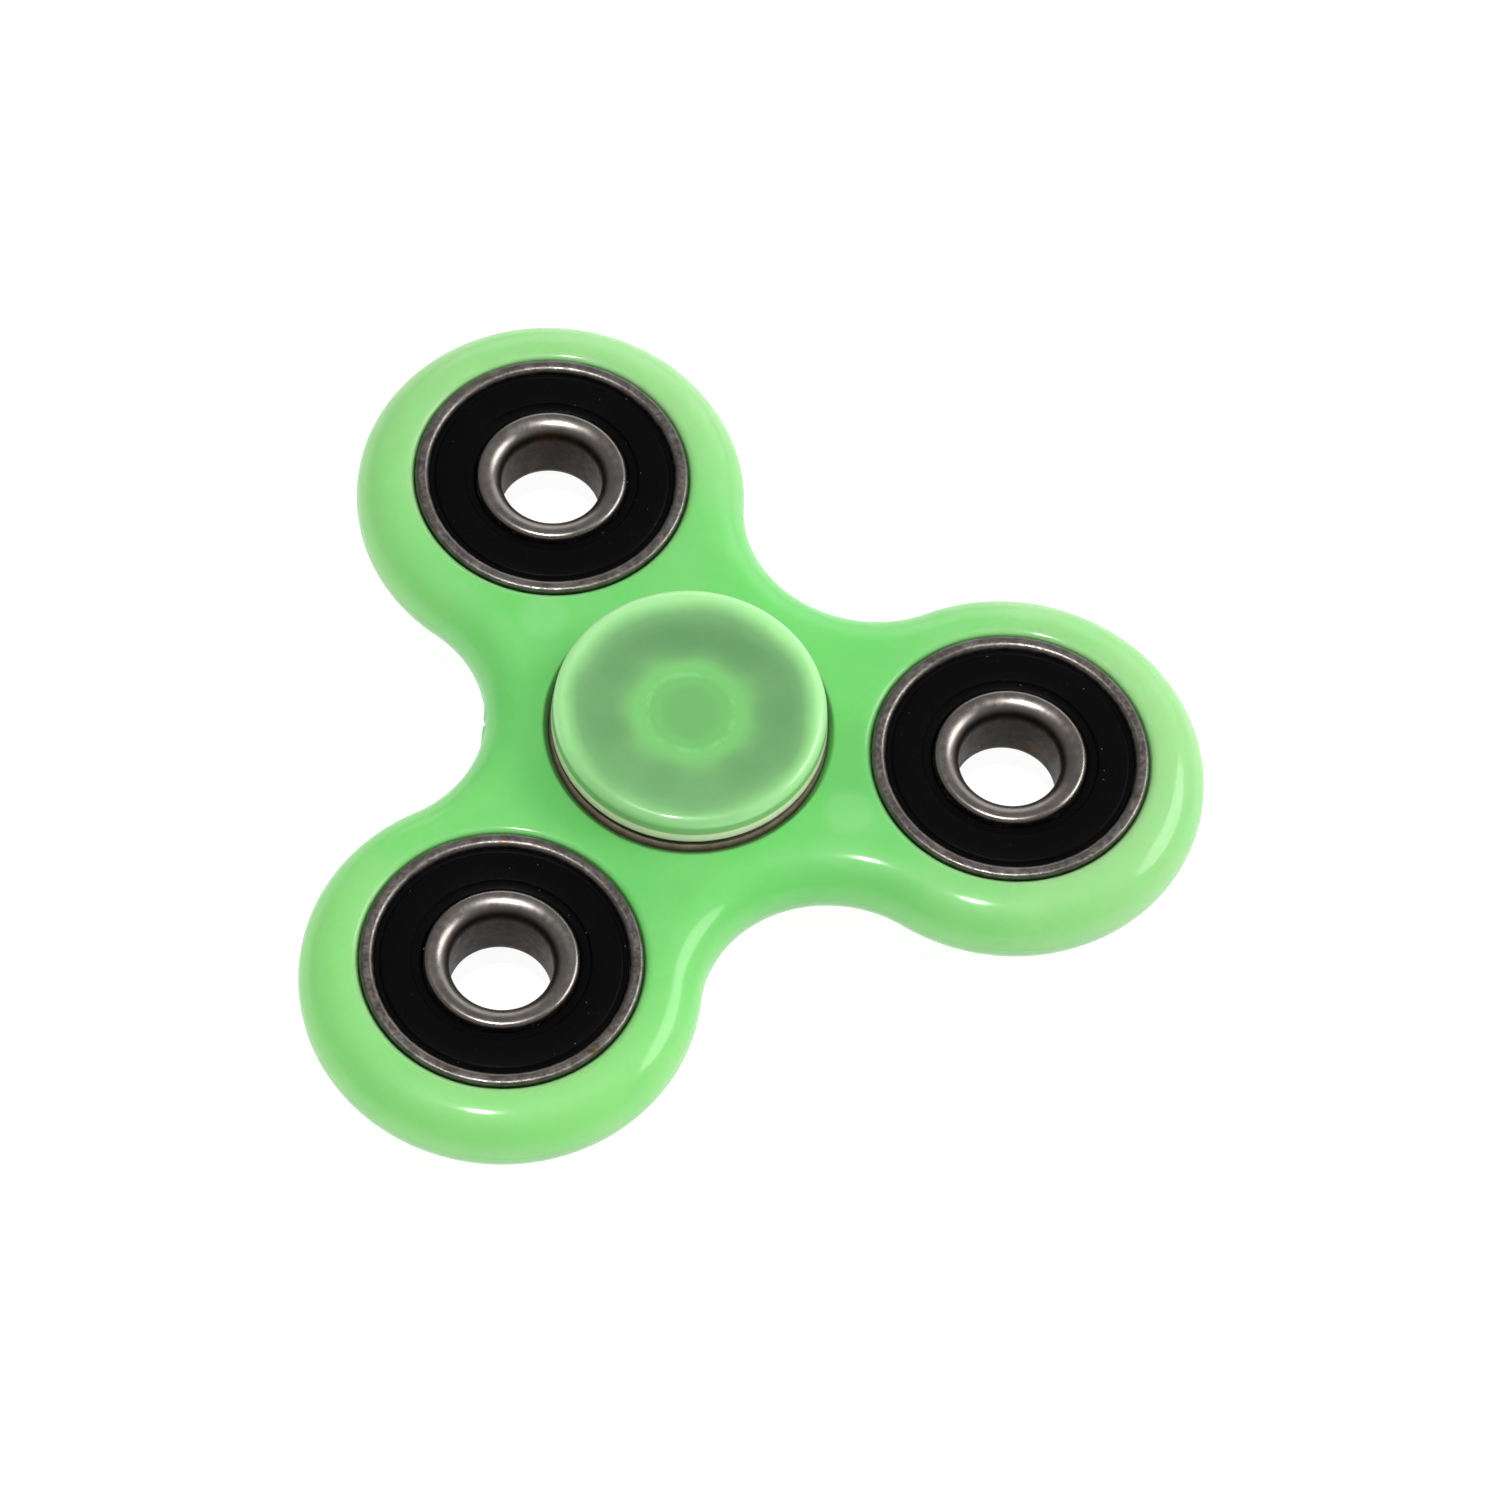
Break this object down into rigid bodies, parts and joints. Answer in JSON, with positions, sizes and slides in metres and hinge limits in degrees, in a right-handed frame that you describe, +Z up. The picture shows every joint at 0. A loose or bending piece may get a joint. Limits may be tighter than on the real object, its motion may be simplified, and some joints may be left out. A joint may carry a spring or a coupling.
{
  "type": "fidget spinner",
  "caption": "Three-lobed fidget spinner: a moulded body that spins on an open ball bearing between two finger caps, with a sealed ball bearing in each lobe as a weight.",
  "frame": {"origin": "centre of the bottom cap's resting face, on the spin axis", "axes": "+Z up the spin axis, +X towards the middle of one lobe"},
  "size_m": [0.0696, 0.0756, 0.0136],
  "materials": {
    "body_plastic": "gloss",
    "cap_plastic": "gloss",
    "ring_steel": "satin",
    "ball_steel": "polished",
    "cage_steel": "satin",
    "seal_rubber": "satin"
  },
  "bodies": {
    "hub": {"cap_top": "cap_plastic", "cap_bottom": "cap_plastic", "centre_inner_ring": "ring_steel"},
    "rotor": {"spinner_body": "body_plastic", "centre_outer_ring": "ring_steel", "weight_1_outer_ring": "ring_steel", "weight_1_seal_top": "seal_rubber", "weight_1_seal_bottom": "seal_rubber", "weight_2_outer_ring": "ring_steel", "weight_2_seal_top": "seal_rubber", "weight_2_seal_bottom": "seal_rubber", "weight_3_outer_ring": "ring_steel", "weight_3_seal_top": "seal_rubber", "weight_3_seal_bottom": "seal_rubber"},
    "centre_cage": {"centre_cage_upper": "cage_steel", "centre_cage_lower": "cage_steel", "centre_cage_rivets": "cage_steel"},
    "centre_ball_1": {"centre_ball_1": "ball_steel"},
    "centre_ball_2": {"centre_ball_2": "ball_steel"},
    "centre_ball_3": {"centre_ball_3": "ball_steel"},
    "centre_ball_4": {"centre_ball_4": "ball_steel"},
    "centre_ball_5": {"centre_ball_5": "ball_steel"},
    "centre_ball_6": {"centre_ball_6": "ball_steel"},
    "centre_ball_7": {"centre_ball_7": "ball_steel"},
    "weight_1_inner": {"weight_1_inner_ring": "ring_steel"},
    "weight_1_cage": {"weight_1_cage_upper": "cage_steel", "weight_1_cage_lower": "cage_steel", "weight_1_cage_rivets": "cage_steel"},
    "weight_1_ball_1": {"weight_1_ball_1": "ball_steel"},
    "weight_1_ball_2": {"weight_1_ball_2": "ball_steel"},
    "weight_1_ball_3": {"weight_1_ball_3": "ball_steel"},
    "weight_1_ball_4": {"weight_1_ball_4": "ball_steel"},
    "weight_1_ball_5": {"weight_1_ball_5": "ball_steel"},
    "weight_1_ball_6": {"weight_1_ball_6": "ball_steel"},
    "weight_1_ball_7": {"weight_1_ball_7": "ball_steel"},
    "weight_2_inner": {"weight_2_inner_ring": "ring_steel"},
    "weight_2_cage": {"weight_2_cage_upper": "cage_steel", "weight_2_cage_lower": "cage_steel", "weight_2_cage_rivets": "cage_steel"},
    "weight_2_ball_1": {"weight_2_ball_1": "ball_steel"},
    "weight_2_ball_2": {"weight_2_ball_2": "ball_steel"},
    "weight_2_ball_3": {"weight_2_ball_3": "ball_steel"},
    "weight_2_ball_4": {"weight_2_ball_4": "ball_steel"},
    "weight_2_ball_5": {"weight_2_ball_5": "ball_steel"},
    "weight_2_ball_6": {"weight_2_ball_6": "ball_steel"},
    "weight_2_ball_7": {"weight_2_ball_7": "ball_steel"},
    "weight_3_inner": {"weight_3_inner_ring": "ring_steel"},
    "weight_3_cage": {"weight_3_cage_upper": "cage_steel", "weight_3_cage_lower": "cage_steel", "weight_3_cage_rivets": "cage_steel"},
    "weight_3_ball_1": {"weight_3_ball_1": "ball_steel"},
    "weight_3_ball_2": {"weight_3_ball_2": "ball_steel"},
    "weight_3_ball_3": {"weight_3_ball_3": "ball_steel"},
    "weight_3_ball_4": {"weight_3_ball_4": "ball_steel"},
    "weight_3_ball_5": {"weight_3_ball_5": "ball_steel"},
    "weight_3_ball_6": {"weight_3_ball_6": "ball_steel"},
    "weight_3_ball_7": {"weight_3_ball_7": "ball_steel"}
  },
  "joints": [
    {"name": "rotor_spin", "type": "hinge", "parent": "hub", "child": "rotor", "pos_m": [0, 0, 0.0068], "axis": [0, 0, 1], "continuous": true},
    {"name": "centre_cage_orbit", "type": "hinge", "parent": "hub", "child": "centre_cage", "pos_m": [0, 0, 0.0068], "axis": [0, 0, 1], "continuous": true},
    {"name": "centre_ball_1_roll", "type": "hinge", "parent": "centre_cage", "child": "centre_ball_1", "pos_m": [0.00551, 0.00509, 0.0068], "axis": [0, 0, 1], "continuous": true},
    {"name": "centre_ball_2_roll", "type": "hinge", "parent": "centre_cage", "child": "centre_ball_2", "pos_m": [-0.00054, 0.00748, 0.0068], "axis": [0, 0, 1], "continuous": true},
    {"name": "centre_ball_3_roll", "type": "hinge", "parent": "centre_cage", "child": "centre_ball_3", "pos_m": [-0.00619, 0.00424, 0.0068], "axis": [0, 0, 1], "continuous": true},
    {"name": "centre_ball_4_roll", "type": "hinge", "parent": "centre_cage", "child": "centre_ball_4", "pos_m": [-0.00717, -0.00219, 0.0068], "axis": [0, 0, 1], "continuous": true},
    {"name": "centre_ball_5_roll", "type": "hinge", "parent": "centre_cage", "child": "centre_ball_5", "pos_m": [-0.00276, -0.00697, 0.0068], "axis": [0, 0, 1], "continuous": true},
    {"name": "centre_ball_6_roll", "type": "hinge", "parent": "centre_cage", "child": "centre_ball_6", "pos_m": [0.00373, -0.00651, 0.0068], "axis": [0, 0, 1], "continuous": true},
    {"name": "centre_ball_7_roll", "type": "hinge", "parent": "centre_cage", "child": "centre_ball_7", "pos_m": [0.00741, -0.00114, 0.0068], "axis": [0, 0, 1], "continuous": true},
    {"name": "weight_1_spin", "type": "hinge", "parent": "rotor", "child": "weight_1_inner", "pos_m": [0.0255, 0, 0.0068], "axis": [0, 0, 1], "continuous": true},
    {"name": "weight_1_cage_orbit", "type": "hinge", "parent": "rotor", "child": "weight_1_cage", "pos_m": [0.0255, 0, 0.0068], "axis": [0, 0, 1], "continuous": true},
    {"name": "weight_1_ball_1_roll", "type": "hinge", "parent": "weight_1_cage", "child": "weight_1_ball_1", "pos_m": [0.03293, 0.00104, 0.0068], "axis": [0, 0, 1], "continuous": true},
    {"name": "weight_1_ball_2_roll", "type": "hinge", "parent": "weight_1_cage", "child": "weight_1_ball_2", "pos_m": [0.02931, 0.00646, 0.0068], "axis": [0, 0, 1], "continuous": true},
    {"name": "weight_1_ball_3_roll", "type": "hinge", "parent": "weight_1_cage", "child": "weight_1_ball_3", "pos_m": [0.02283, 0.00701, 0.0068], "axis": [0, 0, 1], "continuous": true},
    {"name": "weight_1_ball_4_roll", "type": "hinge", "parent": "weight_1_cage", "child": "weight_1_ball_4", "pos_m": [0.01836, 0.00228, 0.0068], "axis": [0, 0, 1], "continuous": true},
    {"name": "weight_1_ball_5_roll", "type": "hinge", "parent": "weight_1_cage", "child": "weight_1_ball_5", "pos_m": [0.01926, -0.00416, 0.0068], "axis": [0, 0, 1], "continuous": true},
    {"name": "weight_1_ball_6_roll", "type": "hinge", "parent": "weight_1_cage", "child": "weight_1_ball_6", "pos_m": [0.02487, -0.00747, 0.0068], "axis": [0, 0, 1], "continuous": true},
    {"name": "weight_1_ball_7_roll", "type": "hinge", "parent": "weight_1_cage", "child": "weight_1_ball_7", "pos_m": [0.03095, -0.00516, 0.0068], "axis": [0, 0, 1], "continuous": true},
    {"name": "weight_2_spin", "type": "hinge", "parent": "rotor", "child": "weight_2_inner", "pos_m": [-0.01275, 0.02208, 0.0068], "axis": [0, 0, 1], "continuous": true},
    {"name": "weight_2_cage_orbit", "type": "hinge", "parent": "rotor", "child": "weight_2_cage", "pos_m": [-0.01275, 0.02208, 0.0068], "axis": [0, 0, 1], "continuous": true},
    {"name": "weight_2_ball_1_roll", "type": "hinge", "parent": "weight_2_cage", "child": "weight_2_ball_1", "pos_m": [-0.01824, 0.0272, 0.0068], "axis": [0, 0, 1], "continuous": true},
    {"name": "weight_2_ball_2_roll", "type": "hinge", "parent": "weight_2_cage", "child": "weight_2_ball_2", "pos_m": [-0.02017, 0.02098, 0.0068], "axis": [0, 0, 1], "continuous": true},
    {"name": "weight_2_ball_3_roll", "type": "hinge", "parent": "weight_2_cage", "child": "weight_2_ball_3", "pos_m": [-0.01652, 0.0156, 0.0068], "axis": [0, 0, 1], "continuous": true},
    {"name": "weight_2_ball_4_roll", "type": "hinge", "parent": "weight_2_cage", "child": "weight_2_ball_4", "pos_m": [-0.01003, 0.0151, 0.0068], "axis": [0, 0, 1], "continuous": true},
    {"name": "weight_2_ball_5_roll", "type": "hinge", "parent": "weight_2_cage", "child": "weight_2_ball_5", "pos_m": [-0.00559, 0.01986, 0.0068], "axis": [0, 0, 1], "continuous": true},
    {"name": "weight_2_ball_6_roll", "type": "hinge", "parent": "weight_2_cage", "child": "weight_2_ball_6", "pos_m": [-0.00654, 0.02629, 0.0068], "axis": [0, 0, 1], "continuous": true},
    {"name": "weight_2_ball_7_roll", "type": "hinge", "parent": "weight_2_cage", "child": "weight_2_ball_7", "pos_m": [-0.01217, 0.02956, 0.0068], "axis": [0, 0, 1], "continuous": true},
    {"name": "weight_3_spin", "type": "hinge", "parent": "rotor", "child": "weight_3_inner", "pos_m": [-0.01275, -0.02208, 0.0068], "axis": [0, 0, 1], "continuous": true},
    {"name": "weight_3_cage_orbit", "type": "hinge", "parent": "rotor", "child": "weight_3_cage", "pos_m": [-0.01275, -0.02208, 0.0068], "axis": [0, 0, 1], "continuous": true},
    {"name": "weight_3_ball_1_roll", "type": "hinge", "parent": "weight_3_cage", "child": "weight_3_ball_1", "pos_m": [-0.01519, -0.02917, 0.0068], "axis": [0, 0, 1], "continuous": true},
    {"name": "weight_3_ball_2_roll", "type": "hinge", "parent": "weight_3_cage", "child": "weight_3_ball_2", "pos_m": [-0.00873, -0.02841, 0.0068], "axis": [0, 0, 1], "continuous": true},
    {"name": "weight_3_ball_3_roll", "type": "hinge", "parent": "weight_3_cage", "child": "weight_3_ball_3", "pos_m": [-0.00529, -0.02289, 0.0068], "axis": [0, 0, 1], "continuous": true},
    {"name": "weight_3_ball_4_roll", "type": "hinge", "parent": "weight_3_cage", "child": "weight_3_ball_4", "pos_m": [-0.00747, -0.01675, 0.0068], "axis": [0, 0, 1], "continuous": true},
    {"name": "weight_3_ball_5_roll", "type": "hinge", "parent": "weight_3_cage", "child": "weight_3_ball_5", "pos_m": [-0.01363, -0.01464, 0.0068], "axis": [0, 0, 1], "continuous": true},
    {"name": "weight_3_ball_6_roll", "type": "hinge", "parent": "weight_3_cage", "child": "weight_3_ball_6", "pos_m": [-0.01912, -0.01813, 0.0068], "axis": [0, 0, 1], "continuous": true},
    {"name": "weight_3_ball_7_roll", "type": "hinge", "parent": "weight_3_cage", "child": "weight_3_ball_7", "pos_m": [-0.01982, -0.0246, 0.0068], "axis": [0, 0, 1], "continuous": true}
  ],
  "couplings": [
    {"joint": "centre_cage_orbit", "follows": "rotor_spin", "ratio": 0.6323},
    {"joint": "centre_ball_1_roll", "follows": "rotor_spin", "ratio": 1.7573},
    {"joint": "centre_ball_2_roll", "follows": "rotor_spin", "ratio": 1.7573},
    {"joint": "centre_ball_3_roll", "follows": "rotor_spin", "ratio": 1.7573},
    {"joint": "centre_ball_4_roll", "follows": "rotor_spin", "ratio": 1.7573},
    {"joint": "centre_ball_5_roll", "follows": "rotor_spin", "ratio": 1.7573},
    {"joint": "centre_ball_6_roll", "follows": "rotor_spin", "ratio": 1.7573},
    {"joint": "centre_ball_7_roll", "follows": "rotor_spin", "ratio": 1.7573},
    {"joint": "weight_1_cage_orbit", "follows": "weight_1_spin", "ratio": 0.3677},
    {"joint": "weight_1_ball_1_roll", "follows": "weight_1_spin", "ratio": -1.7573},
    {"joint": "weight_1_ball_2_roll", "follows": "weight_1_spin", "ratio": -1.7573},
    {"joint": "weight_1_ball_3_roll", "follows": "weight_1_spin", "ratio": -1.7573},
    {"joint": "weight_1_ball_4_roll", "follows": "weight_1_spin", "ratio": -1.7573},
    {"joint": "weight_1_ball_5_roll", "follows": "weight_1_spin", "ratio": -1.7573},
    {"joint": "weight_1_ball_6_roll", "follows": "weight_1_spin", "ratio": -1.7573},
    {"joint": "weight_1_ball_7_roll", "follows": "weight_1_spin", "ratio": -1.7573},
    {"joint": "weight_2_cage_orbit", "follows": "weight_2_spin", "ratio": 0.3677},
    {"joint": "weight_2_ball_1_roll", "follows": "weight_2_spin", "ratio": -1.7573},
    {"joint": "weight_2_ball_2_roll", "follows": "weight_2_spin", "ratio": -1.7573},
    {"joint": "weight_2_ball_3_roll", "follows": "weight_2_spin", "ratio": -1.7573},
    {"joint": "weight_2_ball_4_roll", "follows": "weight_2_spin", "ratio": -1.7573},
    {"joint": "weight_2_ball_5_roll", "follows": "weight_2_spin", "ratio": -1.7573},
    {"joint": "weight_2_ball_6_roll", "follows": "weight_2_spin", "ratio": -1.7573},
    {"joint": "weight_2_ball_7_roll", "follows": "weight_2_spin", "ratio": -1.7573},
    {"joint": "weight_3_cage_orbit", "follows": "weight_3_spin", "ratio": 0.3677},
    {"joint": "weight_3_ball_1_roll", "follows": "weight_3_spin", "ratio": -1.7573},
    {"joint": "weight_3_ball_2_roll", "follows": "weight_3_spin", "ratio": -1.7573},
    {"joint": "weight_3_ball_3_roll", "follows": "weight_3_spin", "ratio": -1.7573},
    {"joint": "weight_3_ball_4_roll", "follows": "weight_3_spin", "ratio": -1.7573},
    {"joint": "weight_3_ball_5_roll", "follows": "weight_3_spin", "ratio": -1.7573},
    {"joint": "weight_3_ball_6_roll", "follows": "weight_3_spin", "ratio": -1.7573},
    {"joint": "weight_3_ball_7_roll", "follows": "weight_3_spin", "ratio": -1.7573}
  ]
}
